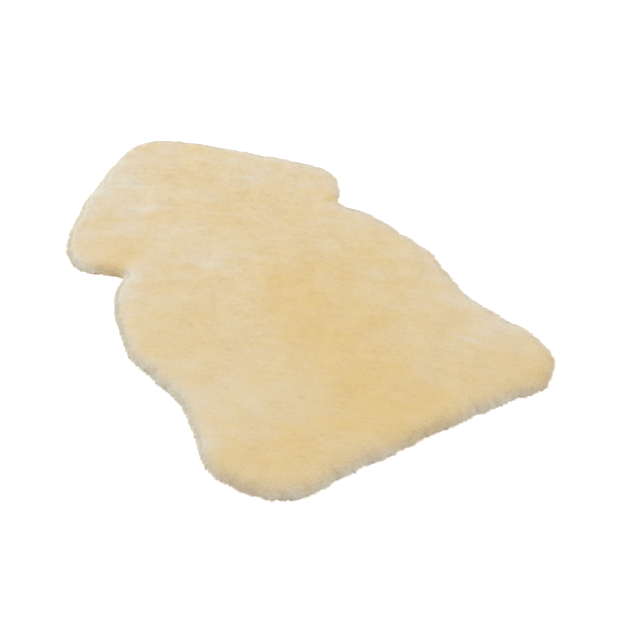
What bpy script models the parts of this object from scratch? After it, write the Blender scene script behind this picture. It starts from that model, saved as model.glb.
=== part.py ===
"""A sheared sheepskin rug: one tanned lambskin lying flat, wool side up.

The rug is a single solid, because hide and wool can't be parted. It is a lumpy slab of wool on
its hide, with one pointed lock after another round its rim. Metres, +Z up, the neck towards +Y,
the suede side on z = 0 and the origin under the middle of the rug.
"""

import math
import random
from collections import namedtuple

import bmesh
import bpy
from mathutils import Vector, noise
from mathutils.geometry import delaunay_2d_cdt, interpolate_bezier

# The pelt's outline, as the wool's outer edge. The two sides of a skin are never quite alike.
Landmark = namedtuple("Landmark", "name left_x left_y right_x right_y")
PELT = (
    Landmark("nape", -0.020, 0.500, 0.022, 0.498),
    Landmark("neck corner", -0.060, 0.471, 0.068, 0.471),
    Landmark("neck side", -0.121, 0.412, 0.113, 0.424),
    Landmark("collar", -0.188, 0.339, 0.183, 0.343),
    Landmark("shoulder", -0.247, 0.258, 0.246, 0.258),
    Landmark("shoulder point", -0.274, 0.195, 0.275, 0.200),
    Landmark("shoulder heel", -0.259, 0.139, 0.262, 0.158),
    Landmark("above the leg notch", -0.228, 0.116, 0.239, 0.116),
    Landmark("leg notch", -0.223, 0.087, 0.233, 0.083),
    Landmark("girth", -0.252, 0.030, 0.258, 0.032),
    Landmark("ribs", -0.271, -0.030, 0.268, -0.030),
    Landmark("flank", -0.284, -0.115, 0.280, -0.115),
    Landmark("loin", -0.275, -0.182, 0.272, -0.175),
    Landmark("waist", -0.262, -0.258, 0.260, -0.260),
    Landmark("thigh", -0.276, -0.330, 0.272, -0.325),
    Landmark("haunch", -0.287, -0.390, 0.287, -0.408),
    Landmark("haunch corner", -0.263, -0.452, 0.272, -0.461),
    Landmark("hem corner", -0.205, -0.499, 0.218, -0.494),
    Landmark("hem side", -0.120, -0.492, 0.140, -0.489),
    Landmark("hem middle", -0.045, -0.492, 0.050, -0.491),
)
CURVE_STEPS = 24            # steps of the smooth curve between two landmarks

# The wool parts into tufts along the edge, which push the outline in and out a little.
EDGE_TUFT_SIZE = 0.030
EDGE_TUFT_DEPTH = 0.0045

# Pointed locks stand out of the rim, one for each column of its faces. Every other lock rests
# level on the floor, and the ones between stand out higher up.
LOCK_COUNT = 240
LOCK_LENGTH = 0.0080        # how far a lock's tip stands out of the slab
LOCK_LENGTH_SPREAD = 0.0030
LOCK_LEAN = 0.0020          # how far a tip leans to either side
LOCK_TIP_HEIGHTS = (0.0, 0.0110)
LOCK_SEED = 11

# The rim's section from the floor upwards: how far in from the slab's edge, and how high.
RimStep = namedtuple("RimStep", "inset height")
RIM_FOOT = RimStep(0.0035, 0.0000)
RIM_BROW = RimStep(0.0000, 0.0150)      # the locks grow from the wall between foot and brow
RIM_CHEEK = RimStep(0.0050, 0.0230)
RIM_TOP = RimStep(0.0140, 0.0275)

# The top, where the wool is sheared level and lies in low swells and small clumps.
PILE_HEIGHT = 0.0290
CELL = 0.0140               # spacing of the points that carry the lumps
RIM_CLEARANCE = 0.0090      # the lumps keep this far inside the rim's top
SAME_PLACE = 0.00001
Swell = namedtuple("Swell", "heading_deg wavelength height shift_deg")
SWELLS = (
    Swell(12, 0.230, 0.0010, 40),
    Swell(68, 0.150, 0.0009, 150),
    Swell(128, 0.097, 0.0008, 260),
    Swell(-31, 0.066, 0.0005, 75),
)
CLUMP_SIZE = 0.026
CLUMP_HEIGHT = 0.0024

WOOL_COLOUR = (0.760, 0.604, 0.366, 1.0)
WOOL_ROUGHNESS = 0.95


def clear_scene():
    """Remove the objects that a new file starts with."""
    for old in list(bpy.data.objects):
        bpy.data.objects.remove(old)


def landmark_loop():
    """The landmarks in order round the pelt: down the right side, and back up the left."""
    right = [Vector((mark.right_x, mark.right_y, 0.0)) for mark in PELT]
    left = [Vector((mark.left_x, mark.left_y, 0.0)) for mark in reversed(PELT)]
    return right + left


def smooth_loop(corners):
    """A smooth closed curve through the corners, as many short steps."""
    path = []
    count = len(corners)
    for index, start in enumerate(corners):
        end = corners[(index + 1) % count]
        reach = (end - start).length / 3.0
        leaving = (end - corners[index - 1]).normalized() * reach
        arriving = (corners[(index + 2) % count] - start).normalized() * reach
        path += interpolate_bezier(start, start + leaving, end - arriving, end, CURVE_STEPS + 1)[:-1]
    return path


def evenly_spaced(path, count):
    """Points at equal distances along a closed path."""
    ends = path[1:] + path[:1]
    lengths = [(end - start).length for start, end in zip(path, ends)]
    spacing = sum(lengths) / count
    points = []
    walked = 0.0
    for start, end, length in zip(path, ends, lengths):
        while len(points) < count and len(points) * spacing < walked + length:
            points.append(start.lerp(end, (len(points) * spacing - walked) / length))
        walked += length
    return points


def outward_directions(outline):
    """The level direction that points out of the rug at each point of its outline."""
    outward = []
    for index, point in enumerate(outline):
        along = outline[(index + 1) % len(outline)] - outline[index - 1]
        outward.append(Vector((-along.y, along.x, 0.0)).normalized())
    return outward


def slab_edge(outline, outward):
    """The slab's own edge, a lock's length inside the outline and pushed about by the tufts."""
    edge = []
    for point, out in zip(outline, outward):
        tuft = EDGE_TUFT_DEPTH * noise.noise(point / EDGE_TUFT_SIZE)
        edge.append(point + out * (tuft - LOCK_LENGTH))
    return edge


def lump(x, y):
    """How far the sheared wool stands above its mean height at a place."""
    height = 0.0
    for swell in SWELLS:
        heading = math.radians(swell.heading_deg)
        along = x * math.cos(heading) + y * math.sin(heading)
        turn = math.tau * along / swell.wavelength + math.radians(swell.shift_deg)
        height += swell.height * math.sin(turn)
    return height + CLUMP_HEIGHT * noise.noise(Vector((x, y, 0.0)) / CLUMP_SIZE)


def is_inside(place, loop):
    """Whether a level place lies inside a closed loop of points."""
    inside = False
    for start, end in zip(loop, loop[1:] + loop[:1]):
        if (start.y > place.y) != (end.y > place.y):
            crossing = start.x + (place.y - start.y) * (end.x - start.x) / (end.y - start.y)
            if place.x < crossing:
                inside = not inside
    return inside


def put_in_order(items, key):
    """Give all the mesh's points or faces an order that never changes."""
    for rank, item in enumerate(sorted(items, key=key)):
        item.index = rank
    items.sort()


def start_foot(bm, edge, outward):
    """The closed ring of points on which the rug stands."""
    column = bm.verts.layers.int.new("column")
    ring = []
    for index, (point, out) in enumerate(zip(edge, outward)):
        vert = bm.verts.new(point - out * RIM_FOOT.inset)
        vert[column] = index
        ring.append(vert)
    for start, end in zip(ring, ring[1:] + ring[:1]):
        bm.edges.new((start, end))
    return ring


def raise_rim(bm, ring, step, edge, outward):
    """Extrude a ring of points to the rim's next step. Returns the new ring and its faces."""
    column = bm.verts.layers.int["column"]
    sides = [bm.edges.get(ends) for ends in zip(ring, ring[1:] + ring[:1])]
    made = bmesh.ops.extrude_edge_only(bm, edges=sides)["geom"]
    new_ring = [item for item in made if isinstance(item, bmesh.types.BMVert)]
    for vert in new_ring:
        index = vert[column]
        vert.co = edge[index] - outward[index] * step.inset
        vert.co.z = step.height
    new_ring.sort(key=lambda vert: vert[column])
    return new_ring, [item for item in made if isinstance(item, bmesh.types.BMFace)]


def pile_places(loop):
    """Level places in staggered rows all over the pile, clear of the loop round it."""
    reach = max(max(abs(point.x), abs(point.y)) for point in loop)
    row_spacing = CELL * math.sqrt(0.75)
    rows = math.ceil(reach / row_spacing)
    cells = math.ceil(reach / CELL)
    places = []
    for row in range(-rows, rows + 1):
        shift = 0.5 * CELL * (row % 2)
        for cell in range(-cells, cells + 1):
            place = Vector((cell * CELL + shift, row * row_spacing))
            to_rim = min((place - point).length for point in loop)
            if to_rim > RIM_CLEARANCE and is_inside(place, loop):
                places.append(place)
    return places


def lay_pile(bm, ring):
    """Cover the slab with lumpy wool, from the rim's top ring inwards."""
    loop = [vert.co.xy for vert in ring]
    places = pile_places(loop)
    sides = [(index, (index + 1) % len(loop)) for index in range(len(loop))]
    inside_only = 1
    net = delaunay_2d_cdt(loop + places, sides, [], inside_only, SAME_PLACE)
    triangles, sources = net[2], net[3]
    verts = ring + [bm.verts.new((x, y, PILE_HEIGHT + lump(x, y))) for x, y in places]
    for triangle in triangles:
        bm.faces.new([verts[sources[corner][0]] for corner in triangle])


def pull_locks(bm, wall, outward):
    """Pull one four-sided lock of wool out of each face of the rim's wall."""
    column = bm.verts.layers.int["column"]
    for face in wall:
        columns = {vert[column] for vert in face.verts}
        index = 0 if columns == {0, LOCK_COUNT - 1} else max(columns)
        chance = random.Random(LOCK_SEED * LOCK_COUNT + index)
        out = outward[index]
        aside = Vector((-out.y, out.x, 0.0))
        tip = face.calc_center_median()
        tip += out * (LOCK_LENGTH + chance.uniform(-1.0, 1.0) * LOCK_LENGTH_SPREAD)
        tip += aside * (chance.uniform(-1.0, 1.0) * LOCK_LEAN)
        tip.z = LOCK_TIP_HEIGHTS[index % len(LOCK_TIP_HEIGHTS)]
        bmesh.ops.poke(bm, faces=[face])["verts"][0].co = tip


def centre_on_origin(bm):
    """Move the solid so that the middle of its box stands on the origin."""
    xs = [vert.co.x for vert in bm.verts]
    ys = [vert.co.y for vert in bm.verts]
    middle = Vector((0.5 * (min(xs) + max(xs)), 0.5 * (min(ys) + max(ys)), 0.0))
    bmesh.ops.translate(bm, vec=-middle, verts=bm.verts)


def wool_material():
    """Cream sheared wool."""
    material = bpy.data.materials.new("cream_wool")
    material.use_nodes = True
    shader = material.node_tree.nodes["Principled BSDF"]
    shader.inputs["Base Color"].default_value = WOOL_COLOUR
    shader.inputs["Roughness"].default_value = WOOL_ROUGHNESS
    shader.inputs["Metallic"].default_value = 0.0
    return material


def make_sheepskin():
    """The whole pelt: hide, wool and the locks round its rim, in one solid."""
    outline = evenly_spaced(smooth_loop(landmark_loop()), LOCK_COUNT)
    outward = outward_directions(outline)
    edge = slab_edge(outline, outward)

    bm = bmesh.new()
    foot = start_foot(bm, edge, outward)
    brow, wall = raise_rim(bm, foot, RIM_BROW, edge, outward)
    cheek, _ = raise_rim(bm, brow, RIM_CHEEK, edge, outward)
    top, _ = raise_rim(bm, cheek, RIM_TOP, edge, outward)
    lay_pile(bm, top)
    bm.faces.new(foot)
    pull_locks(bm, wall, outward)

    put_in_order(bm.verts, lambda vert: vert.co.to_tuple(7))
    put_in_order(bm.faces, lambda face: face.calc_center_median().to_tuple(7))
    bmesh.ops.triangulate(bm, faces=bm.faces)
    bmesh.ops.recalc_face_normals(bm, faces=bm.faces)
    centre_on_origin(bm)

    mesh = bpy.data.meshes.new("sheepskin")
    bm.to_mesh(mesh)
    bm.free()
    mesh.shade_smooth()
    mesh.materials.append(wool_material())
    rug = bpy.data.objects.new("sheepskin", mesh)
    bpy.context.scene.collection.objects.link(rug)
    return rug


clear_scene()
make_sheepskin()
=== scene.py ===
"""The looks of a sheared sheepskin rug, laid round its solid.

The rug is dressed from the inside out: a bed of packed wool, the suede hide under it, four zones
of sheared tufts over the bed, and looser tufts round the rim. Metres, +Z up, the neck towards +Y.
"""

import math
from collections import namedtuple

import bmesh
import bpy
import numpy as np
from bpy.props import (
    FloatProperty,
    FloatVectorProperty,
    IntProperty,
    PointerProperty,
)
from mathutils import Matrix, Vector, kdtree, noise


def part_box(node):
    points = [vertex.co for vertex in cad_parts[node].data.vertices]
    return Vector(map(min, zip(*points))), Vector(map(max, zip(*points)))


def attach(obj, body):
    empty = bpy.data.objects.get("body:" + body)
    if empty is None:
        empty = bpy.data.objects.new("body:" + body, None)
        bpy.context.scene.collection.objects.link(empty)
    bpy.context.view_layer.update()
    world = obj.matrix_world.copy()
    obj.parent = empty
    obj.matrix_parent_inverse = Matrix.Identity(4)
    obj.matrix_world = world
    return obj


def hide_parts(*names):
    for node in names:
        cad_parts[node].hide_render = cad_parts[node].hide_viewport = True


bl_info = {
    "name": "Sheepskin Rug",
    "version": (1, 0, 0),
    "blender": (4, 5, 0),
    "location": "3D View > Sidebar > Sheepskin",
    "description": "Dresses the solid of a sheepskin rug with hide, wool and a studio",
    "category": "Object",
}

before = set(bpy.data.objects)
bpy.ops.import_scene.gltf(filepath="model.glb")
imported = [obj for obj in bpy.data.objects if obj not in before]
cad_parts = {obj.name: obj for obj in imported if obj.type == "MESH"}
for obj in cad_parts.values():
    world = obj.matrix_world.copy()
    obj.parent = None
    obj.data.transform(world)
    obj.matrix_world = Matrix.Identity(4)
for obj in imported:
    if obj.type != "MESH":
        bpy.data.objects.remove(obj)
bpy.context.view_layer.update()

SOLID = "sheepskin"
BODY = "root"
LOW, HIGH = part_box(SOLID)

# The wool is yellower along the backbone and over the rump. The warm patches in the notches and at
# the left shoulder's heel are painted shade. Each patch is a soft ellipse: where it lies, how far
# it reaches, and how much warmer (or, below zero, paler) it makes the wool. EVEN_WARMTH is how warm
# the wool is away from them all.
Patch = namedtuple("Patch", "name x y reach_x reach_y warmth")
PATCHES = (
    Patch("rump ridge", 0.000, -0.400, 0.060, 0.070, 0.34),
    Patch("hem", 0.060, -0.455, 0.110, 0.030, 0.18),
    Patch("right haunch", 0.235, -0.478, 0.040, 0.022, 0.30),
    Patch("left haunch edge", -0.262, -0.430, 0.022, 0.040, 0.16),
    Patch("loin ridge", 0.000, -0.240, 0.050, 0.110, 0.36),
    Patch("left loin", -0.045, -0.240, 0.035, 0.050, 0.20),
    Patch("back ridge", 0.015, -0.090, 0.045, 0.080, 0.24),
    Patch("left haunch", -0.170, -0.430, 0.075, 0.040, 0.32),
    Patch("left flank", -0.200, -0.100, 0.045, 0.060, 0.24),
    Patch("right ribs", 0.140, -0.085, 0.055, 0.055, 0.24),
    Patch("right loin", 0.112, -0.255, 0.036, 0.050, 0.24),
    # Painted shade: the warm shadow under the left shoulder's heel and in the two notches.
    Patch("left shoulder heel", -0.235, 0.118, 0.030, 0.018, 0.55),
    Patch("left notch", -0.222, 0.102, 0.012, 0.010, 0.45),
    Patch("right notch", 0.220, 0.112, 0.010, 0.010, 0.70),
    Patch("withers", 0.045, 0.150, 0.050, 0.040, 0.14),
    Patch("neck ridge", 0.020, 0.285, 0.040, 0.080, 0.08),
    Patch("pale withers", -0.050, 0.060, 0.040, 0.050, -0.18),
    Patch("pale right neck", 0.150, 0.270, 0.080, 0.050, -0.10),
    Patch("pale neck", -0.110, 0.340, 0.070, 0.090, -0.22),
    Patch("pale right thigh", 0.225, -0.335, 0.050, 0.050, -0.06),
    Patch("pale left ribs", -0.215, 0.020, 0.030, 0.080, -0.14),
)
EVEN_WARMTH = 0.43

# Painted light: the rim is painted paler, as light shines through its thin tips, and at the foot
# this greys the painted shade. How strongly and how far in, and once more in a narrow edge. Each
# part of the rim adds its row. The neck's side counts as far as the rim faces NECKWARD.
RimLight = namedtuple("RimLight", "part strength reach edge_strength edge_reach")
PAINTED_RIM_LIGHT = (
    RimLight("all round", 0.34, 0.010, 0.14, 0.004),
    RimLight("neck", 0.40, 0.008, 0.30, 0.006),
    RimLight("flanks", 0.00, 0.004, 0.00, 0.000),
    RimLight("upper hem", -0.20, 0.000, 0.00, 0.000),
    RimLight("foot", 0.25, 0.000, 0.00, 0.000),
)
NECKWARD = (0.35, 0.87, 0.0)

# Smooth noise in the wool: how strong it is, how large its blobs are, and the shift that sets it
# apart from the others. Streaks are drawn out along the combed wool: share is width over length.
Blobs = namedtuple("Blobs", "strength size shift")
Streaks = namedtuple("Streaks", "strength size shift share")
WARM_CLOUDS = Blobs(0.16, 0.055, 3.1)
WARM_BANDS = Streaks(0.22, 0.018, 8.7, 0.40)
WARM_STREAKS = Streaks(0.16, 0.0060, 4.9, 0.35)
BROAD_SHADES = Streaks(0.24, 0.0090, 2.6, 0.60)
FINE_SHADES = Streaks(0.36, 0.0035, 7.3, 0.30)
WIDE_BENDS = Blobs(0.020, 0.13, 1.7)            # of the combing, in metres
SHORT_BENDS = Blobs(0.0040, 0.04, 5.3)
LOCK_LENGTHS = Blobs(0.3, 0.030, 6.6)
LOCK_GROUPS = Blobs(1.0, 0.030, 4.4)

# The wool is drawn in where the outline turns back behind the shoulders: where each notch lies,
# how far it reaches, and how much of the rim's filling it takes away.
Notch = namedtuple("Notch", "name x y reach depth")
NOTCHES = (
    Notch("left notch", -0.215, 0.086, 0.020, 1.9),
    Notch("right notch", 0.226, 0.110, 0.020, 1.2),
)

# The pile's zones, from the rump up: where each starts and ends along the backbone, as shares of
# the rug's length. Each holds about as much wool as the next.
Zone = namedtuple("Zone", "name start end")
ZONES = (
    Zone("wool_rump", 0.00, 0.26),
    Zone("wool_loin", 0.26, 0.475),
    Zone("wool_back", 0.475, 0.70),
    Zone("wool_neck", 0.70, 1.00),
)

SAME_PLACE = 0.00001        # points closer than this are one
FACES_DOWN = -0.5           # a normal that reaches further down than this faces the floor
FLOOR_GAP = 0.0003          # the studio's floor lies this far below the hide
FLOOR_REACH = 15.0          # and reaches this far from the rug's middle
LAMP_WIDTH = 2.0
FRAME_WIDTH = 36.0          # of the camera, in millimetres

# Tufts that would reach the floor are bent to run along it, from this height down. Little light
# comes to their feet: how much, and from what height up they have all of it.
SOFT_FLOOR = 0.0020
FOOT_LIGHT = 0.20
FULL_LIGHT_HEIGHT = 0.0085

# A tuft's colour runs from its shaded root towards its pale tip: how far it goes on average and at
# the least, and what the shade is at the root and half way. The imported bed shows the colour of
# BED_TIP. A tuft that is darker than DARK_TIP is warmer too.
EVEN_TIP = 0.80
LEAST_TIP = 0.35
DARK_TIP = 0.75
DARK_WARMTH = 0.45
BED_TIP = 0.55
ROOT_SHADE = (0.76, 0.68, 0.57, 1.0)
HALFWAY_SHADE = (0.98, 0.965, 0.93, 1.0)

# Tufts are rooted this deep in the bed, and locks and loose tufts droop by this share of the fall.
ROOT_DEPTH = 0.0010
DROOP = 0.8

# How much chance varies the tufts: standard deviations, as shares or, for lean and turn, radians.
Spread = namedtuple("Spread", "heading length width turn")
PILE_SPREAD = Spread(heading=0.10, length=0.12, width=0.20, turn=0.25)
RIM_SPREAD = Spread(heading=0.15, length=0.15, width=0.20, turn=0.25)
LEAN_SPREAD = 0.09
SHEAR_SPREAD = 0.10
ARCH_SPREAD = 0.05
WARMTH_SPREAD = 0.04
TIP_SPREAD = 0.03

# What each draw of chance adds to the seed. The zones also add their place in the list.
ZONE_CHANCE = 100
RIM_ROOTS = 50
RIM_CHANCE = 51
LOCK_ROOTS = 60


# ---------------------------------------------------------------------------------------------
# Settings
# ---------------------------------------------------------------------------------------------


def number(name, about, default, **kind):
    """A setting that is a plain number, or one of a kind that Blender knows."""
    return FloatProperty(name=name, description=about, default=default, **kind)


def metres(name, about, default):
    """A setting for a length."""
    return number(name, about, default, unit="LENGTH")


def factor(name, about, default):
    """A setting for a share."""
    return number(name, about, default, subtype="FACTOR")


def angle(name, about, degrees):
    """A setting for an angle, given in degrees."""
    return number(name, about, math.radians(degrees), subtype="ANGLE")


def place(name, about, default):
    """A setting for a place."""
    return FloatVectorProperty(name=name, description=about, default=default, size=3,
                               subtype="TRANSLATION")


def tint(name, about, default):
    """A setting for a colour."""
    return FloatVectorProperty(name=name, description=about, default=default, size=4,
                               subtype="COLOR")


def amount(name, about, default):
    """A setting for how many there are."""
    return IntProperty(name=name, description=about, default=default)


class HideSettings(bpy.types.PropertyGroup):
    """The tanned hide under the wool."""

    thickness: metres("Thickness", "How thick the tanned hide is", 0.0018)
    inset: metres("Inset", "How far the hide's cut edge lies inside the wool's foot", 0.0030)
    colour: tint("Suede colour", "Colour of the flesh side", (0.61, 0.49, 0.32, 1.0))


class WoolSettings(bpy.types.PropertyGroup):
    """The wool, from its packed bed to the tips."""

    bed_step: metres("Bed step", "Size of the bed's faces", 0.0045)
    bed_depth: metres("Bed depth", "How deep the bed lies under the sheared tips", 0.0020)
    heading: angle(
        "Nap heading", "Which way the wool is combed in the middle of the rug, from +X", -47.0
    )
    turning: number(
        "Nap turning", "How much the combing turns over each metre on its way to the rump", 0.67
    )
    lean: angle("Lean", "How far the combed tufts lean over from upright", 74.0)
    tufts: amount("Tufts", "Number of tufts in each of the four zones", 44000)
    tuft_width: metres("Tuft width", "Width of a tuft at its root", 0.0010)
    tuft_length: metres("Tuft length", "Length of a tuft from its buried root to its tip", 0.0120)
    shear: metres("Shear height", "How far the sheared tips may stand over the bed", 0.0045)
    rim_tufts: amount("Rim tufts", "Number of loose tufts round the rim", 24000)
    rim_width: metres("Rim tuft width", "Width of a loose tuft at its belly", 0.0007)
    rim_length: metres("Rim tuft length", "Length of the loose tufts at the rim", 0.0080)
    rim_fill: metres("Rim fill", "How far the packed wool swells out at the rim", 0.0070)
    roundness: factor(
        "Roundness", "How much a tuft is shaded as a round thing, not as the pile it lies in", 0.17
    )
    relief: factor(
        "Relief", "How much of the pile's slopes its shading shows, for light runs through it", 0.35
    )
    lift: factor("Lift", "How far the shading of the rim's side is turned up to the light", 1.25)
    fall: factor(
        "Fall", "How strongly the wool at the rim falls outwards, against the combing", 2.0
    )
    fall_reach: metres("Fall reach", "How far inside the rim the wool falls outwards", 0.007)
    locks: amount("Locks", "Number of locks into which the rim's wool gathers", 700)
    lock_length: metres(
        "Lock length", "How far the locks' tips stand out of the packed wool", 0.0065
    )
    gathering: factor(
        "Gathering", "How strongly the rim's tufts are drawn to the tips of their locks", 0.25
    )
    parting: metres(
        "Parting", "How wide the wool at the rim parts between two groups of locks", 0.0045
    )
    rim_rise: angle("Rim rise", "How much more upright the tufts stand on the rim's side", 30.0)
    # The white is painted light: the rim's paleness where light shines through its thin tips.
    white: tint("White wool", "Colour of the palest wool, at the rim", (0.745, 0.710, 0.610, 1.0))
    pale: tint("Pale wool", "Colour of the pale wool", (0.745, 0.655, 0.510, 1.0))
    cream: tint("Cream wool", "Colour of most of the wool", (0.745, 0.606, 0.374, 1.0))
    gold: tint(
        "Golden wool", "Colour of the wool along the backbone", (0.745, 0.560, 0.262, 1.0)
    )
    seed: amount("Seed", "Changes how chance places the tufts", 7)


class StageSettings(bpy.types.PropertyGroup):
    """The floor, the camera, the sky and the lamp."""

    floor_colour: tint("Floor colour", "Colour of the plain floor", (0.96, 0.96, 0.96, 1.0))
    floor_glow: number(
        "Floor glow", "How strongly the floor is lit from within, like a light table", 0.60
    )
    camera_place: place("Camera place", "Where the camera stands", (-0.6785, -1.3406, 1.0660))
    camera_heading: angle(
        "Camera heading", "Which way the camera looks, clockwise from +Y", 30.385
    )
    camera_pitch: angle("Camera pitch", "How far the camera looks down from level", 37.457)
    lens: number("Lens", "Focal length in millimetres, on a frame 36 mm across", 60.97)
    sky: number("Sky", "Strength of the even light from all round", 0.86)
    sky_slope: number("Sky slope", "How much brighter the even light is on one side", 0.17)
    sky_heading: angle("Sky heading", "Which side the even light is brighter on, from +X", 30.0)
    key: number("Key lamp", "Power of the large lamp beyond the neck, in watts", 39.0)
    key_place: place("Key place", "Where the large lamp hangs", (0.3, 2.2, 2.2))


# ---------------------------------------------------------------------------------------------
# Helpers
# ---------------------------------------------------------------------------------------------


def settings(name):
    """One group of the scene's settings."""
    return getattr(bpy.context.scene, name)


def link(name, data, material=None):
    """A new object at the origin, for a mesh, a lamp or a camera."""
    piece = bpy.data.objects.new(name, data)
    bpy.context.scene.collection.objects.link(piece)
    if material is not None:
        data.materials.append(material)
    return piece


def found(name):
    """A piece that an earlier operator made."""
    piece = bpy.data.objects.get(name)
    if piece is None:
        raise RuntimeError(f"make {name} first")
    return piece


def numbers(collection, key, width):
    """One property of every element of a mesh, as rows."""
    values = np.empty(len(collection) * width, int if key == "vertices" else float)
    collection.foreach_get(key, values)
    return values.reshape(-1, width)


def unit(vectors):
    """The vectors at length one."""
    return vectors / np.maximum(np.linalg.norm(vectors, axis=-1), 1e-9)[..., None]


def nearest(places, others):
    """For each place, which of the others lies nearest."""
    tree = kdtree.KDTree(len(others))
    for index, other in enumerate(others):
        tree.insert(other, index)
    tree.balance()
    return np.array([tree.find(place)[1] for place in places])


def blobs(places, layer):
    """One layer of smooth noise at each place, from about minus to plus its strength."""
    offset = Vector((layer.shift, -layer.shift, 0.5 * layer.shift))
    values = [noise.noise(Vector(place) / layer.size + offset) for place in places]
    return layer.strength * np.array(values)


def streaks(combing, layer):
    """One layer of noise that is drawn out along the combed wool."""
    return blobs(combing * (1.0, layer.share, 0.0), layer)


def uneven(chance, spread, count):
    """Shares that chance spreads round one."""
    return 1.0 + chance.normal(0.0, spread, count)


# ---------------------------------------------------------------------------------------------
# What the wool is like at a place
# ---------------------------------------------------------------------------------------------


def way_to_rim(places, normals):
    """The level way out of the rug at each place of the bed, and how far inside the rim it lies.

    The rim is where the bed is steep, apart from the dips on its top and its underside.
    """
    middle = 0.3 * HIGH.z
    reach = 0.2 * HIGH.z
    steep = 0.3
    level = places * (1.0, 1.0, 0.0)
    on_wall = np.abs(places[:, 2] - middle) < reach
    rim = np.flatnonzero(on_wall & (np.abs(normals[:, 2]) < steep))
    closest = rim[nearest(level, level[rim])]
    outward = unit(normals[closest] * (1.0, 1.0, 0.0))
    return outward, np.linalg.norm(level[closest] - level, axis=1)


def warmth_at(places, combing, outward, from_rim):
    """How golden the wool is at each place, from 0 pale to 1 golden.

    The rim is painted paler, as light shines through its thin tips, most round the neck and least
    on the upper part of the hem. Clouds and bands of warmth run through the wool, and fade by the
    share calm towards the rim.
    """
    calm = 0.7
    calm_reach = 0.020
    warmth = np.full(len(places), EVEN_WARMTH)
    for patch in PATCHES:
        across = (places[:, 0] - patch.x) / patch.reach_x
        along = (places[:, 1] - patch.y) / patch.reach_y
        warmth += patch.warmth * np.exp(-0.5 * (across**2 + along**2))
    clouds = blobs(places, WARM_CLOUDS) + streaks(combing, WARM_BANDS)
    warmth += clouds * (1.0 - calm * np.exp(-from_rim / calm_reach))
    high = np.clip(places[:, 2] / HIGH.z, 0.0, 1.0)
    parts = {
        "all round": np.ones(len(places)),
        "neck": np.clip((outward * NECKWARD).sum(1), 0.0, 1.0),
        "flanks": np.abs(outward[:, 0]),
        "upper hem": np.clip(-outward[:, 1], 0.0, 1.0) * high,
        "foot": 1.0 - high,
    }
    strength, reach, edge_strength, edge_reach = (
        sum(getattr(row, key) * parts[row.part] for row in PAINTED_RIM_LIGHT)
        for key in ("strength", "reach", "edge_strength", "edge_reach")
    )
    warmth -= strength * np.exp(-from_rim / reach)
    return warmth - edge_strength * np.exp(-from_rim / edge_reach)


def combed(places):
    """How far across and along the combed wool each place lies."""
    wool = settings("sheepskin_wool")
    cos, sin = math.cos(wool.heading), math.sin(wool.heading)
    along = places[:, 0] * cos + places[:, 1] * sin
    across = places[:, 1] * cos - places[:, 0] * sin
    across = across + 0.5 * wool.turning * along**2
    return across + blobs(places, WIDE_BENDS) + blobs(places, SHORT_BENDS), along


def nap_at(places):
    """The level way in which the combed wool lies: along the lines of equal across."""
    step = 0.0005
    here = combed(places)[0]
    by_x = combed(places + (step, 0.0, 0.0))[0] - here
    by_y = combed(places + (0.0, step, 0.0))[0] - here
    return unit(np.stack([by_y, -by_x, np.zeros(len(places))], 1))


def parting_at(places):
    """Where the wool at the rim parts: 1 on the lines between two groups of locks, 0 elsewhere.

    The lines are where the noise is zero, and they run nearly upright.
    """
    height_share = 0.3
    slope_there = 1.5 / LOCK_GROUPS.size
    from_line = np.abs(blobs(places * (1.0, 1.0, height_share), LOCK_GROUPS)) / slope_there
    return np.exp(-(2.0 * from_line / settings("sheepskin_wool").parting)**2)


def light_at(places):
    """How much light comes to the wool: little at its foot on the floor, and 1 a little higher."""
    return np.clip(places[:, 2] / FULL_LIGHT_HEIGHT, FOOT_LIGHT, 1.0)


def steepness(normals):
    """How steep the wool's surface is: 0 where it is level, and 1 on the rim's side."""
    side_starts = 0.5
    return np.clip((1.0 - normals[:, 2:]) / side_starts, 0.0, 1.0)


# ---------------------------------------------------------------------------------------------
# Materials
# ---------------------------------------------------------------------------------------------


def grey(value):
    """A grey colour."""
    return (value, value, value, 1.0)


def ramp_node(nodes, stops):
    """A colour ramp with the given stops, each a position and a colour."""
    node = nodes.new("ShaderNodeValToRGB")
    elements = node.color_ramp.elements
    while len(elements) < len(stops):
        elements.new(0.5)
    for element, (position, colour) in zip(elements, stops):
        element.position = position
        element.color = colour
    return node


def wool_colour_group():
    """Node group: the wool's colour from how golden it is and how far along a tuft it is."""
    name = "Wool Colour"
    if name in bpy.data.node_groups:
        return bpy.data.node_groups[name]
    wool = settings("sheepskin_wool")
    group = bpy.data.node_groups.new(name, "ShaderNodeTree")
    group.interface.new_socket("Warmth", in_out="INPUT", socket_type="NodeSocketFloat")
    group.interface.new_socket("Along", in_out="INPUT", socket_type="NodeSocketFloat")
    group.interface.new_socket("Color", in_out="OUTPUT", socket_type="NodeSocketColor")
    nodes, links = group.nodes, group.links
    start = nodes.new("NodeGroupInput")
    end = nodes.new("NodeGroupOutput")
    hue = ramp_node(nodes, [(0.0, wool.white), (0.15, wool.pale), (0.45, wool.cream),
                            (0.95, wool.gold)])
    depth = ramp_node(nodes, [(0.0, ROOT_SHADE), (0.5, HALFWAY_SHADE), (1.0, grey(1.0))])
    mix = nodes.new("ShaderNodeMix")
    mix.data_type = "RGBA"
    mix.blend_type = "MULTIPLY"
    mix.inputs["Factor"].default_value = 1.0
    links.new(start.outputs["Warmth"], hue.inputs["Fac"])
    links.new(start.outputs["Along"], depth.inputs["Fac"])
    links.new(hue.outputs["Color"], mix.inputs["A"])
    links.new(depth.outputs["Color"], mix.inputs["B"])
    links.new(mix.outputs["Result"], end.inputs["Color"])
    return group


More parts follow.
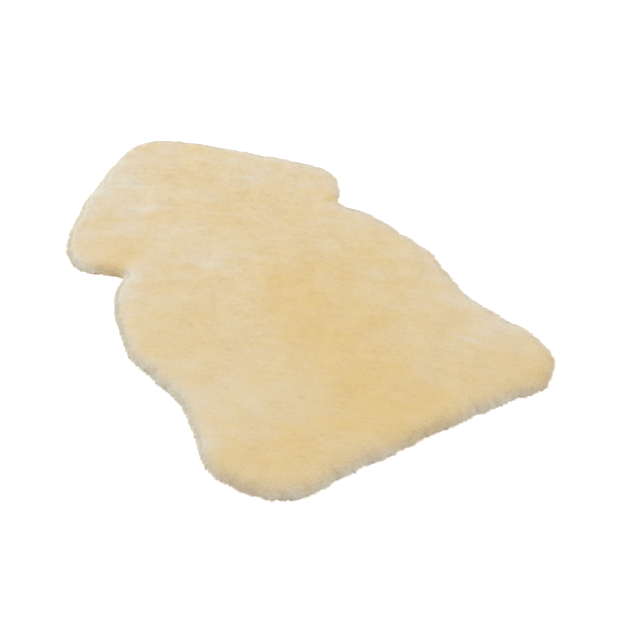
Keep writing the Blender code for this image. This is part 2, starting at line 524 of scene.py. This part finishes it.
def new_material(name, roughness, sheen):
    """A material with a Principled shader, and its nodes, links and shader."""
    material = bpy.data.materials.new(name)
    material.use_nodes = True
    nodes, links = material.node_tree.nodes, material.node_tree.links
    shader = nodes["Principled BSDF"]
    shader.inputs["Roughness"].default_value = roughness
    shader.inputs["Specular IOR Level"].default_value = 0.2
    shader.inputs["Sheen Weight"].default_value = sheen
    shader.inputs["Sheen Roughness"].default_value = 0.5
    return material, nodes, links, shader


def tuft_material():
    """Wool tufts. Their map holds the warmth across and the way from root to tip upwards."""
    material, nodes, links, shader = new_material("wool_tufts", 0.85, 0.25)
    where = nodes.new("ShaderNodeUVMap")
    where.uv_map = "OFBake"
    split = nodes.new("ShaderNodeSeparateXYZ")
    colour = nodes.new("ShaderNodeGroup")
    colour.node_tree = wool_colour_group()
    links.new(where.outputs["UV"], split.inputs["Vector"])
    links.new(split.outputs["X"], colour.inputs["Warmth"])
    links.new(split.outputs["Y"], colour.inputs["Along"])
    links.new(colour.outputs["Color"], shader.inputs["Base Color"])
    return material


def bed_material():
    """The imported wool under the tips: the same colour, with the fibres' combed relief."""
    material, nodes, links, shader = new_material("wool_bed", 0.95, 0.15)
    warmth = nodes.new("ShaderNodeAttribute")
    warmth.attribute_name = "warmth"
    colour = nodes.new("ShaderNodeGroup")
    colour.node_tree = wool_colour_group()
    along = nodes.new("ShaderNodeAttribute")
    along.attribute_name = "along"
    combing = nodes.new("ShaderNodeAttribute")
    combing.attribute_name = "combing"
    stretch = nodes.new("ShaderNodeMapping")
    stretch.inputs["Scale"].default_value = (1.0, 0.10, 1.0)
    fibres = nodes.new("ShaderNodeTexNoise")
    fibres.inputs["Scale"].default_value = 700.0
    fibres.inputs["Detail"].default_value = 3.0
    bump = nodes.new("ShaderNodeBump")
    bump.inputs["Strength"].default_value = 0.3
    bump.inputs["Distance"].default_value = 0.0005
    links.new(warmth.outputs["Fac"], colour.inputs["Warmth"])
    links.new(along.outputs["Fac"], colour.inputs["Along"])
    links.new(colour.outputs["Color"], shader.inputs["Base Color"])
    links.new(combing.outputs["Vector"], stretch.inputs["Vector"])
    links.new(stretch.outputs["Vector"], fibres.inputs["Vector"])
    links.new(fibres.outputs["Fac"], bump.inputs["Height"])
    links.new(bump.outputs["Normal"], shader.inputs["Normal"])
    return material


def suede_material():
    """The flesh side of the hide: matt, with a short nap and cloudy tan."""
    material, nodes, links, shader = new_material("suede", 0.95, 0.3)
    hide = settings("sheepskin_hide")
    where = nodes.new("ShaderNodeTexCoord")
    cloud = nodes.new("ShaderNodeTexNoise")
    cloud.inputs["Scale"].default_value = 9.0
    cloud.inputs["Detail"].default_value = 6.0
    lighter, darker = 1.12, 0.82
    light = [min(1.0, lighter * value) for value in hide.colour[:3]] + [1.0]
    dark = [darker * value for value in hide.colour[:3]] + [1.0]
    tan = ramp_node(nodes, [(0.3, dark), (0.7, light)])
    nap = nodes.new("ShaderNodeTexNoise")
    nap.inputs["Scale"].default_value = 900.0
    bump = nodes.new("ShaderNodeBump")
    bump.inputs["Strength"].default_value = 0.35
    bump.inputs["Distance"].default_value = 0.0005
    links.new(where.outputs["Object"], cloud.inputs["Vector"])
    links.new(where.outputs["Object"], nap.inputs["Vector"])
    links.new(cloud.outputs["Fac"], tan.inputs["Fac"])
    links.new(tan.outputs["Color"], shader.inputs["Base Color"])
    links.new(nap.outputs["Fac"], bump.inputs["Height"])
    links.new(bump.outputs["Normal"], shader.inputs["Normal"])
    return material


# ---------------------------------------------------------------------------------------------
# The bed and the hide
# ---------------------------------------------------------------------------------------------


def make_bed():
    """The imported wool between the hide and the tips, as one closed piece.

    The solid is shrunk until the locks at its rim are gone, and grown again to lie under the tips.
    """
    wool = settings("sheepskin_wool")
    bm = bmesh.new()
    bm.from_mesh(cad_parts[SOLID].data)
    bmesh.ops.remove_doubles(bm, verts=bm.verts, dist=SAME_PLACE)
    mesh = bpy.data.meshes.new("rough_bed")
    bm.to_mesh(mesh)
    bm.free()
    rough = link("rough_bed", mesh)
    lock_root = 0.0050
    for kind, values in (
        ("REMESH", {"mode": "VOXEL", "voxel_size": wool.bed_step}),
        ("DISPLACE", {"strength": -lock_root, "mid_level": 0.0}),
        ("REMESH", {"mode": "VOXEL", "voxel_size": wool.bed_step}),
        ("SMOOTH", {"factor": 0.5, "iterations": 12}),
        ("DISPLACE", {"strength": lock_root - wool.bed_depth, "mid_level": 0.0}),
    ):
        modifier = rough.modifiers.new(kind.title(), kind)
        for name, value in values.items():
            setattr(modifier, name, value)
    depsgraph = bpy.context.evaluated_depsgraph_get()
    mesh = bpy.data.meshes.new_from_object(rough.evaluated_get(depsgraph))
    bpy.data.objects.remove(rough)
    drop_hollows(mesh)
    fill_rim(mesh)
    seat_on_hide(mesh)
    mesh.name = "wool_bed"
    mesh.shade_smooth()
    mesh.materials.clear()
    comb_bed(mesh)
    return link("wool_bed", mesh, bed_material())


def drop_hollows(mesh):
    """Take out the small closed hollows that shrinking leaves inside the bed."""
    bm = bmesh.new()
    bm.from_mesh(mesh)
    border = [max(bm.verts, key=lambda vert: vert.co.z)]
    outside = set(border)
    while border:
        vert = border.pop()
        others = {edge.other_vert(vert) for edge in vert.link_edges} - outside
        outside |= others
        border.extend(others)
    hollows = [vert for vert in bm.verts if vert not in outside]
    bmesh.ops.delete(bm, geom=hollows, context="VERTS")
    bm.to_mesh(mesh)
    bm.free()


def fill_rim(mesh):
    """Swell the bed at its rim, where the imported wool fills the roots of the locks.

    It swells most at the neck and the hem, less where it parts, and least in the notches.
    """
    reach = 0.012           # how far inside the rim the swelling fades
    fullest = 1.08          # how much of it there is between two partings
    parting_dent = 0.3      # how much less of it in a parting
    flank_share = 0.90      # how much of it at the flanks
    end_share = 0.25        # how much more at the neck and the hem
    wool = settings("sheepskin_wool")
    places = numbers(mesh.vertices, "co", 3)
    normals = numbers(mesh.vertices, "normal", 3)
    outward, from_rim = way_to_rim(places, normals)
    swell = wool.rim_fill * np.exp(-from_rim / reach)
    swell *= fullest - parting_dent * parting_at(places)
    swell *= flank_share + end_share * np.abs(outward[:, 1])
    for notch in NOTCHES:
        away = np.hypot(places[:, 0] - notch.x, places[:, 1] - notch.y)
        swell *= 1.0 - notch.depth * np.exp(-(away / notch.reach)**2)
    mesh.vertices.foreach_set("co", (places + normals * swell[:, None]).reshape(-1))
    mesh.update()


def seat_on_hide(mesh):
    """Lay the bed's underside level on the hide."""
    seat = settings("sheepskin_hide").thickness
    bm = bmesh.new()
    bm.from_mesh(mesh)
    bm.normal_update()
    for vert in bm.verts:
        if vert.normal.z < FACES_DOWN or vert.co.z < seat:
            vert.co.z = seat
    bmesh.ops.recalc_face_normals(bm, faces=bm.faces)
    bm.to_mesh(mesh)
    bm.free()


def along_surface(vectors, normals):
    """The part of each vector that lies along the surface."""
    return vectors - normals * (vectors * normals).sum(1)[:, None]


def at_most_unit(vectors):
    """The vectors, with those that are longer than one cut to one."""
    return vectors / np.maximum(np.linalg.norm(vectors, axis=-1), 1.0)[..., None]


def comb_bed(mesh):
    """Keep on the bed's points how golden the wool is, and how it grows and is combed.

    Up is the way in which the wool grows and takes its light: the slopes on top count for little,
    and the rim's side is turned up. Near the rim the combed wool falls outwards and down over the
    edge. The nap is short where the combing and the fall oppose each other.
    """
    wool = settings("sheepskin_wool")
    places = numbers(mesh.vertices, "co", 3)
    normals = numbers(mesh.vertices, "normal", 3)
    level_part = normals * (1.0, 1.0, 0.0)
    combing = np.stack([*combed(places), places[:, 2]], 1)
    outward, from_rim = way_to_rim(places, normals)
    fall = unit(along_surface(outward - (0.0, 0.0, 1.0), normals))
    near = np.exp(-from_rim / wool.fall_reach)
    nap = along_surface(nap_at(places), normals) + wool.fall * near[:, None] * fall
    steep = steepness(normals)
    slope = wool.relief + (1.0 - wool.relief) * steep
    upright = normals[:, 2:] + wool.lift * steep * (normals[:, 2:] > FACES_DOWN)
    up = unit(slope * level_part + upright * (0.0, 0.0, 1.0))
    for name, kind, key, values in (
        ("warmth", "FLOAT", "value", warmth_at(places, combing, outward, from_rim)),
        ("nap", "FLOAT_VECTOR", "vector", at_most_unit(nap)),
        ("fall", "FLOAT_VECTOR", "vector", fall),
        ("up", "FLOAT_VECTOR", "vector", up),
        ("along", "FLOAT", "value", BED_TIP * light_at(places)),
        ("near", "FLOAT", "value", near),
        ("combing", "FLOAT_VECTOR", "vector", combing),
    ):
        layer = mesh.attributes.new(name, kind, "POINT")
        layer.data.foreach_set(key, values.reshape(-1))
    mesh.normals_split_custom_set_from_vertices(up)


def make_hide():
    """The thin suede hide on the floor, cut a little inside the outline of the wool's foot."""
    hide = settings("sheepskin_hide")
    cut_height = 0.0040
    bm = bmesh.new()
    bm.from_mesh(found("wool_bed").data)
    bmesh.ops.bisect_plane(bm, geom=[*bm.verts, *bm.edges, *bm.faces], dist=SAME_PLACE,
                           plane_co=(0.0, 0.0, cut_height), plane_no=(0.0, 0.0, 1.0),
                           clear_outer=True, clear_inner=True)
    for vert in bm.verts:
        vert.co.z = 0.0
    cloth = bmesh.ops.contextual_create(bm, geom=bm.edges)["faces"]
    border = bmesh.ops.inset_region(bm, faces=cloth, thickness=hide.inset,
                                    use_even_offset=True)["faces"]
    bmesh.ops.delete(bm, geom=border, context="FACES")
    bmesh.ops.triangulate(bm, faces=bm.faces)
    if sum(face.normal.z for face in bm.faces) < 0.0:
        bmesh.ops.reverse_faces(bm, faces=bm.faces)
    bmesh.ops.solidify(bm, geom=bm.faces, thickness=-hide.thickness)
    bmesh.ops.recalc_face_normals(bm, faces=bm.faces)
    mesh = bpy.data.meshes.new("hide")
    bm.to_mesh(mesh)
    bm.free()
    # What the bed keeps on its points says nothing about the hide.
    for name in ("custom_normal", "warmth", "nap", "fall", "up", "along", "near", "combing"):
        mesh.attributes.remove(mesh.attributes[name])
    mesh.shade_flat()
    return link("hide", mesh, suede_material())


# ---------------------------------------------------------------------------------------------
# The tufts
# ---------------------------------------------------------------------------------------------


Roots = namedtuple("Roots", "places up warmth nap fall near combing")
Tufts = namedtuple("Tufts", "roots along length width arch turn tip")


def scatter(count, seed, weigh):
    """Roots spread evenly over the bed, each with what the bed's points know of their place."""
    mesh = found("wool_bed").data
    mesh.calc_loop_triangles()
    points = numbers(mesh.vertices, "co", 3)
    corners = numbers(mesh.loop_triangles, "vertices", 3)
    a, b, c = (points[corners[:, side]] for side in range(3))
    cross = np.cross(b - a, c - a)
    size = np.linalg.norm(cross, axis=1)
    share = size * weigh(cross / np.maximum(size, 1e-12)[:, None], (a + b + c) / 3.0)
    ends = np.cumsum(share)
    chance = np.random.default_rng(seed)
    pick = (np.arange(count) + chance.random(count)) * ends[-1] / count
    face = np.minimum(np.searchsorted(ends, pick), len(ends) - 1)
    u, v = chance.random(count), chance.random(count)
    flip = u + v > 1.0
    u[flip], v[flip] = 1.0 - u[flip], 1.0 - v[flip]
    weights = np.stack([1.0 - u - v, u, v], 1)[:, :, None]

    def between(values):
        return (values[corners[face]] * weights).sum(1)

    def value(name):
        return between(numbers(mesh.attributes[name].data, "value", 1))[:, 0]

    def vector(name):
        return between(numbers(mesh.attributes[name].data, "vector", 3))

    return Roots(
        places=between(points),
        up=unit(vector("up")),
        warmth=value("warmth"),
        nap=vector("nap"),
        fall=unit(vector("fall")),
        near=value("near"),
        combing=vector("combing"),
    )


def form_arrays(bm):
    """The points and the triangles of a small shape, whose bmesh is freed."""
    bmesh.ops.remove_doubles(bm, verts=bm.verts, dist=SAME_PLACE)
    bmesh.ops.recalc_face_normals(bm, faces=bm.faces)
    bmesh.ops.triangulate(bm, faces=bm.faces)
    bm.verts.index_update()
    points = np.array([vert.co for vert in bm.verts])
    faces = np.array([[vert.index for vert in face.verts] for face in bm.faces])
    bm.free()
    return points, faces


THICKNESS_SHARE = 0.3       # how thick a tuft is for its width
FLATNESS = Matrix.Diagonal((1.0, THICKNESS_SHARE, 1.0, 1.0))


def spike_form():
    """A tuft with a buried foot and a pointed tip, one long and one wide, its flat side at -y."""
    bm = bmesh.new()
    bmesh.ops.create_cone(bm, cap_ends=True, segments=3, radius1=0.5, radius2=0.0, depth=1.0,
                          matrix=FLATNESS @ Matrix.Translation((0.0, 0.0, 0.5)))
    return form_arrays(bm)


def spindle_form(belly):
    """A tuft pointed at both ends, one long and one wide at its belly."""
    bm = bmesh.new()
    for low, high, start, depth in ((0.0, 0.5, 0.0, belly), (0.5, 0.0, belly, 1.0 - belly)):
        middle = Matrix.Translation((0.0, 0.0, start + 0.5 * depth))
        bmesh.ops.create_cone(bm, cap_ends=False, segments=3, radius1=low, radius2=high,
                              depth=depth, matrix=FLATNESS @ middle)
    return form_arrays(bm)


def join_tufts(name, form, tufts):
    """One mesh of many tufts: each a copy of the form, grown from its root and bent.

    A tuft turns its flat side to the light. Its map holds its warmth across and the way from root
    to tip upwards, a margin inside the map's edge.
    """
    margin = 0.01
    width_in_map = 0.002
    off_parallel = 0.01     # keeps sideways defined where a tuft stands straight up
    points, faces = form
    count, size = len(tufts.length), len(points)
    up = tufts.roots.up
    sideways = unit(np.cross(tufts.along, up + off_parallel))
    third = np.cross(tufts.along, sideways)
    cos, sin = np.cos(tufts.turn)[:, None], np.sin(tufts.turn)[:, None]
    first = sideways * cos + third * sin
    second = third * cos - sideways * sin
    x, y, z = (column[None, :, None] for column in points.T)
    width, length = tufts.width[:, None, None], tufts.length[:, None, None]
    around = first[:, None] * x + second[:, None] * y
    places = tufts.roots.places[:, None] + tufts.along[:, None] * length * z + around * width
    places += up[:, None] * tufts.arch[:, None, None] * length * 4.0 * z * (1.0 - z)
    low = places[..., 2] < SOFT_FLOOR
    places[low, 2] = SOFT_FLOOR * np.exp(places[low, 2] / SOFT_FLOOR - 1.0)
    corners = (faces[None] + (np.arange(count) * size)[:, None, None]).reshape(-1)
    mesh = bpy.data.meshes.new(name)
    mesh.vertices.add(count * size)
    mesh.vertices.foreach_set("co", places.reshape(-1))
    mesh.loops.add(len(corners))
    mesh.loops.foreach_set("vertex_index", corners)
    mesh.polygons.add(len(corners) // 3)
    mesh.polygons.foreach_set("loop_start", np.arange(0, len(corners), 3))
    warmth = np.clip(tufts.roots.warmth, margin, 1.0 - margin)[:, None]
    towards_tip = margin + (1.0 - 2.0 * margin) * tufts.tip[:, None] * points[:, 2]
    chart = np.stack([warmth + width_in_map * points[:, 0], towards_tip], 2)
    layer = mesh.uv_layers.new(name="OFBake")
    layer.data.foreach_set("uv", chart.reshape(-1, 2)[corners].reshape(-1))
    mesh.update(calc_edges=True)
    mesh.shade_smooth()
    half_width = 0.5
    roundness = settings("sheepskin_wool").roundness / half_width
    soft = (up[:, None] + roundness * around).reshape(-1, 3)
    mesh.normals_split_custom_set_from_vertices(unit(soft))
    return mesh


def streaked(roots, chance):
    """The roots with their warmth in fine streaks, and how far towards the pale tip each goes."""
    count = len(roots.warmth)
    warmth = roots.warmth + streaks(roots.combing, WARM_STREAKS)
    warmth += chance.normal(0.0, WARMTH_SPREAD, count)
    tip = EVEN_TIP + streaks(roots.combing, FINE_SHADES) + streaks(roots.combing, BROAD_SHADES)
    tip = np.clip(tip + chance.normal(0.0, TIP_SPREAD, count), LEAST_TIP, 1.0)
    return roots._replace(warmth=warmth + DARK_WARMTH * np.maximum(DARK_TIP - tip, 0.0)), tip


def lock_tips():
    """The tips of the locks into which the wool gathers round the rim."""
    wool = settings("sheepskin_wool")
    locks = scatter(wool.locks, wool.seed + LOCK_ROOTS, on_side)
    length = wool.lock_length * (1.0 + blobs(locks.places, LOCK_LENGTHS))
    return locks.places + unit(locks.up + DROOP * locks.fall) * length[:, None]


def on_side(normals, middles):
    """Picks the rim's side for scatter: what is steep, and off the floor."""
    underside = -0.8        # the upward part of a normal below which a face is the underside
    top = 0.6               # and above which it is the top
    upward = normals[:, 2]
    return (upward > underside) * (upward < top) * (middles[:, 2] > SOFT_FLOOR)


def gathered(roots, along, tips, tip):
    """Draw the tufts near the rim to the tips of their locks; between two locks is painted shade.
    """
    least_near = 0.05       # wool that is less near to the rim is left alone
    growth = 1.5            # how fast the gathering grows with nearness
    lock_reach = 0.8        # how far from its tip a lock's painted shade begins, in lock lengths
    darkest = 0.5           # how dark the painted shade gets between two tips
    parting_shade = 0.6     # how dark the painted shade in a parting is
    wool = settings("sheepskin_wool")
    close = np.flatnonzero(roots.near > least_near)
    near = roots.near[close]
    towards = tips[nearest(roots.places[close], tips)] - roots.places[close]
    share = wool.gathering * np.minimum(growth * near, 1.0)[:, None]
    along[close] = unit((1.0 - share) * along[close] + share * unit(towards))
    apart = np.linalg.norm(along_surface(towards, roots.up[close]), axis=1)
    tip[close] *= 1.0 - share[:, 0] * np.clip(apart / wool.lock_length - lock_reach, 0.0, darkest)
    tip[close] *= 1.0 - parting_shade * near * parting_at(roots.places[close])
    return along, tip * light_at(roots.places)


def let_light_through(piece):
    """Let light reach the wool between tufts, as it does through fibres far finer than these."""
    piece.visible_shadow = False
    piece.visible_diffuse = False


def make_wool(zone, form, tips, material):
    """One zone of the sheared pile.

    It thins out from the rim's top down to its foot. Tufts lean less where the nap is short, and
    the shears leave them longer on the rim's side.
    """
    thick_from = 0.25       # the upward part of a normal from which the pile is full
    none_from = -0.25       # and below which there is none
    least_lean = 0.75       # how much of their lean tufts keep where there is no nap
    side_growth = 0.6       # how much longer they are left on the rim's side
    least_cosine = 0.1
    wool = settings("sheepskin_wool")
    start = LOW.y + zone.start * (HIGH.y - LOW.y)
    end = LOW.y + zone.end * (HIGH.y - LOW.y)

    def weigh(normals, middles):
        here = (middles[:, 1] >= start) & (middles[:, 1] < end)
        return here * np.clip((normals[:, 2] - none_from) / (thick_from - none_from), 0.0, 1.0)

    count, seed = wool.tufts, wool.seed + ZONES.index(zone)
    roots = scatter(count, seed, weigh)
    chance = np.random.default_rng(seed + ZONE_CHANCE)
    heading = roots.nap + chance.normal(0.0, PILE_SPREAD.heading, (count, 3))
    nap = along_surface(heading, roots.up)
    steep = steepness(roots.up)[:, 0]
    lean = wool.lean - wool.rim_rise * steep + chance.normal(0.0, LEAN_SPREAD, count)
    lean *= least_lean + (1.0 - least_lean) * np.minimum(np.linalg.norm(nap, axis=1), 1.0)
    along = unit(roots.up * np.cos(lean)[:, None] + unit(nap) * np.sin(lean)[:, None])
    length = wool.tuft_length * uneven(chance, PILE_SPREAD.length, count)
    shear = wool.shear * (uneven(chance, SHEAR_SPREAD, count) + side_growth * steep)
    roots, tip = streaked(roots, chance)
    along, tip = gathered(roots, along, tips, tip)
    tufts = Tufts(
        roots=roots._replace(places=roots.places - roots.up * ROOT_DEPTH),
        along=along,
        length=np.minimum(length, shear / np.maximum(np.cos(lean), least_cosine)),
        width=wool.tuft_width * uneven(chance, PILE_SPREAD.width, count),
        arch=np.zeros(count),
        turn=chance.normal(0.0, PILE_SPREAD.turn, count),
        tip=tip,
    )
    return link(zone.name, join_tufts(zone.name, form, tufts), material)


def make_rim(tips, material):
    """Loose tufts that stand out of the rim and droop to the floor."""
    arch = 0.05
    belly = 0.4
    wool = settings("sheepskin_wool")
    count = wool.rim_tufts
    roots = scatter(count, wool.seed + RIM_ROOTS, on_side)
    chance = np.random.default_rng(wool.seed + RIM_CHANCE)
    astray = chance.normal(0.0, RIM_SPREAD.heading, (count, 3))
    along = unit(roots.up + DROOP * roots.fall + astray)
    roots, tip = streaked(roots, chance)
    along, tip = gathered(roots, along, tips, tip)
    tufts = Tufts(
        roots=roots._replace(places=roots.places - roots.up * ROOT_DEPTH),
        along=along,
        length=wool.rim_length * uneven(chance, RIM_SPREAD.length, count),
        width=wool.rim_width * uneven(chance, RIM_SPREAD.width, count),
        arch=chance.normal(arch, ARCH_SPREAD, count),
        turn=chance.normal(0.0, RIM_SPREAD.turn, count),
        tip=tip,
    )
    return link("wool_rim", join_tufts("wool_rim", spindle_form(belly), tufts), material)


# ---------------------------------------------------------------------------------------------
# The studio
# ---------------------------------------------------------------------------------------------


def floor_plane():
    """A wide plain floor just below the rug, lit from within."""
    stage = settings("sheepskin_stage")
    bm = bmesh.new()
    below = Matrix.Translation((0.0, 0.0, -FLOOR_GAP))
    bmesh.ops.create_grid(bm, x_segments=1, y_segments=1, size=FLOOR_REACH, matrix=below)
    mesh = bpy.data.meshes.new("floor")
    bm.to_mesh(mesh)
    bm.free()
    material = bpy.data.materials.new("floor")
    material.use_nodes = True
    shader = material.node_tree.nodes["Principled BSDF"]
    shader.inputs["Base Color"].default_value = stage.floor_colour
    shader.inputs["Roughness"].default_value = 1.0
    shader.inputs["Emission Color"].default_value = stage.floor_colour
    shader.inputs["Emission Strength"].default_value = stage.floor_glow
    return link("floor", mesh, material)


def hang_key_lamp():
    """Hang the large round lamp beyond the neck, turned to the rug's middle."""
    stage = settings("sheepskin_stage")
    lamp = bpy.data.lights.new("key", "AREA")
    lamp.shape = "DISK"
    lamp.size = LAMP_WIDTH
    lamp.energy = stage.key
    key = link("key", lamp)
    key.location = stage.key_place
    key.rotation_euler = (-key.location).to_track_quat("-Z", "Y").to_euler()
    key.visible_camera = False


def photo_camera():
    """The camera that sees the rug as the photo does."""
    stage = settings("sheepskin_stage")
    camera = link("camera", bpy.data.cameras.new("camera"))
    camera.data.lens = stage.lens
    camera.data.sensor_width = FRAME_WIDTH
    camera.location = stage.camera_place
    tilt = math.radians(90.0) - stage.camera_pitch
    camera.rotation_euler = (tilt, 0.0, -stage.camera_heading)
    return camera


def studio_sky():
    """Even white light from all round, a little brighter on one side."""
    stage = settings("sheepskin_stage")
    world = bpy.data.worlds.new("studio")
    world.use_nodes = True
    nodes, links = world.node_tree.nodes, world.node_tree.links
    side = Vector((math.cos(stage.sky_heading), math.sin(stage.sky_heading), 0.0))
    where = nodes.new("ShaderNodeTexCoord")
    towards = nodes.new("ShaderNodeVectorMath")
    towards.operation = "DOT_PRODUCT"
    towards.inputs[1].default_value = side
    strength = nodes.new("ShaderNodeMath")
    strength.operation = "MULTIPLY_ADD"
    strength.inputs[1].default_value = stage.sky_slope
    strength.inputs[2].default_value = stage.sky
    links.new(where.outputs["Generated"], towards.inputs[0])
    links.new(towards.outputs["Value"], strength.inputs[0])
    links.new(strength.outputs["Value"], nodes["Background"].inputs["Strength"])
    nodes["Background"].inputs["Color"].default_value = grey(1.0)
    return world


# ---------------------------------------------------------------------------------------------
# Operators
# ---------------------------------------------------------------------------------------------


class SHEEPSKIN_OT_bed(bpy.types.Operator):
    """Make the bed of packed wool"""

    bl_idname = "sheepskin.bed"
    bl_label = "Make Wool Bed"

    def execute(self, context):
        bed = make_bed()
        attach(bed, BODY)
        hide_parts(SOLID)
        return {"FINISHED"}


class SHEEPSKIN_OT_hide(bpy.types.Operator):
    """Make the suede hide that the wool grows from"""

    bl_idname = "sheepskin.hide"
    bl_label = "Make Hide"

    def execute(self, context):
        hide = make_hide()
        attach(hide, BODY)
        return {"FINISHED"}


class SHEEPSKIN_OT_pile(bpy.types.Operator):
    """Grow the sheared tufts, zone by zone"""

    bl_idname = "sheepskin.pile"
    bl_label = "Grow Pile"

    def execute(self, context):
        form = spike_form()
        tips = lock_tips()
        material = tuft_material()
        for zone in ZONES:
            piece = make_wool(zone, form, tips, material)
            let_light_through(piece)
            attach(piece, BODY)
        return {"FINISHED"}


class SHEEPSKIN_OT_rim(bpy.types.Operator):
    """Grow the loose tufts round the rim"""

    bl_idname = "sheepskin.rim"
    bl_label = "Grow Rim"

    def execute(self, context):
        rim = make_rim(lock_tips(), bpy.data.materials["wool_tufts"])
        let_light_through(rim)
        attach(rim, BODY)
        return {"FINISHED"}


class SHEEPSKIN_OT_stage(bpy.types.Operator):
    """Lay the floor, hang the lamp and place the camera"""

    bl_idname = "sheepskin.stage"
    bl_label = "Set Stage"

    def execute(self, context):
        floor_plane()
        context.scene.world = studio_sky()
        context.scene.view_settings.view_transform = "Standard"
        hang_key_lamp()
        context.scene.camera = photo_camera()
        return {"FINISHED"}


class SHEEPSKIN_PT_panel(bpy.types.Panel):
    """Lists the rug's settings and steps in the sidebar"""

    bl_label = "Sheepskin Rug"
    bl_idname = "SHEEPSKIN_PT_panel"
    bl_space_type = "VIEW_3D"
    bl_region_type = "UI"
    bl_category = "Sheepskin"

    def draw(self, context):
        for step in STEPS:
            self.layout.operator(step.bl_idname)
        for name, group in SETTINGS.items():
            box = self.layout.box()
            for key in group.__annotations__:
                box.prop(getattr(context.scene, name), key)


SETTINGS = {
    "sheepskin_hide": HideSettings,
    "sheepskin_wool": WoolSettings,
    "sheepskin_stage": StageSettings,
}
STEPS = (
    SHEEPSKIN_OT_bed,
    SHEEPSKIN_OT_hide,
    SHEEPSKIN_OT_pile,
    SHEEPSKIN_OT_rim,
    SHEEPSKIN_OT_stage,
)


def register():
    """Add the settings, the steps and the panel."""
    for group in (*SETTINGS.values(), *STEPS, SHEEPSKIN_PT_panel):
        bpy.utils.register_class(group)
    for name, group in SETTINGS.items():
        setattr(bpy.types.Scene, name, PointerProperty(type=group))


def unregister():
    """Take them away again."""
    for name in SETTINGS:
        delattr(bpy.types.Scene, name)
    for group in (SHEEPSKIN_PT_panel, *reversed(STEPS), *reversed(list(SETTINGS.values()))):
        bpy.utils.unregister_class(group)


def main():
    """Dress the rug and set the stage."""
    register()
    bpy.ops.sheepskin.bed()
    bpy.ops.sheepskin.hide()
    bpy.ops.sheepskin.pile()
    bpy.ops.sheepskin.rim()
    bpy.ops.sheepskin.stage()


if __name__ == "__main__":
    main()
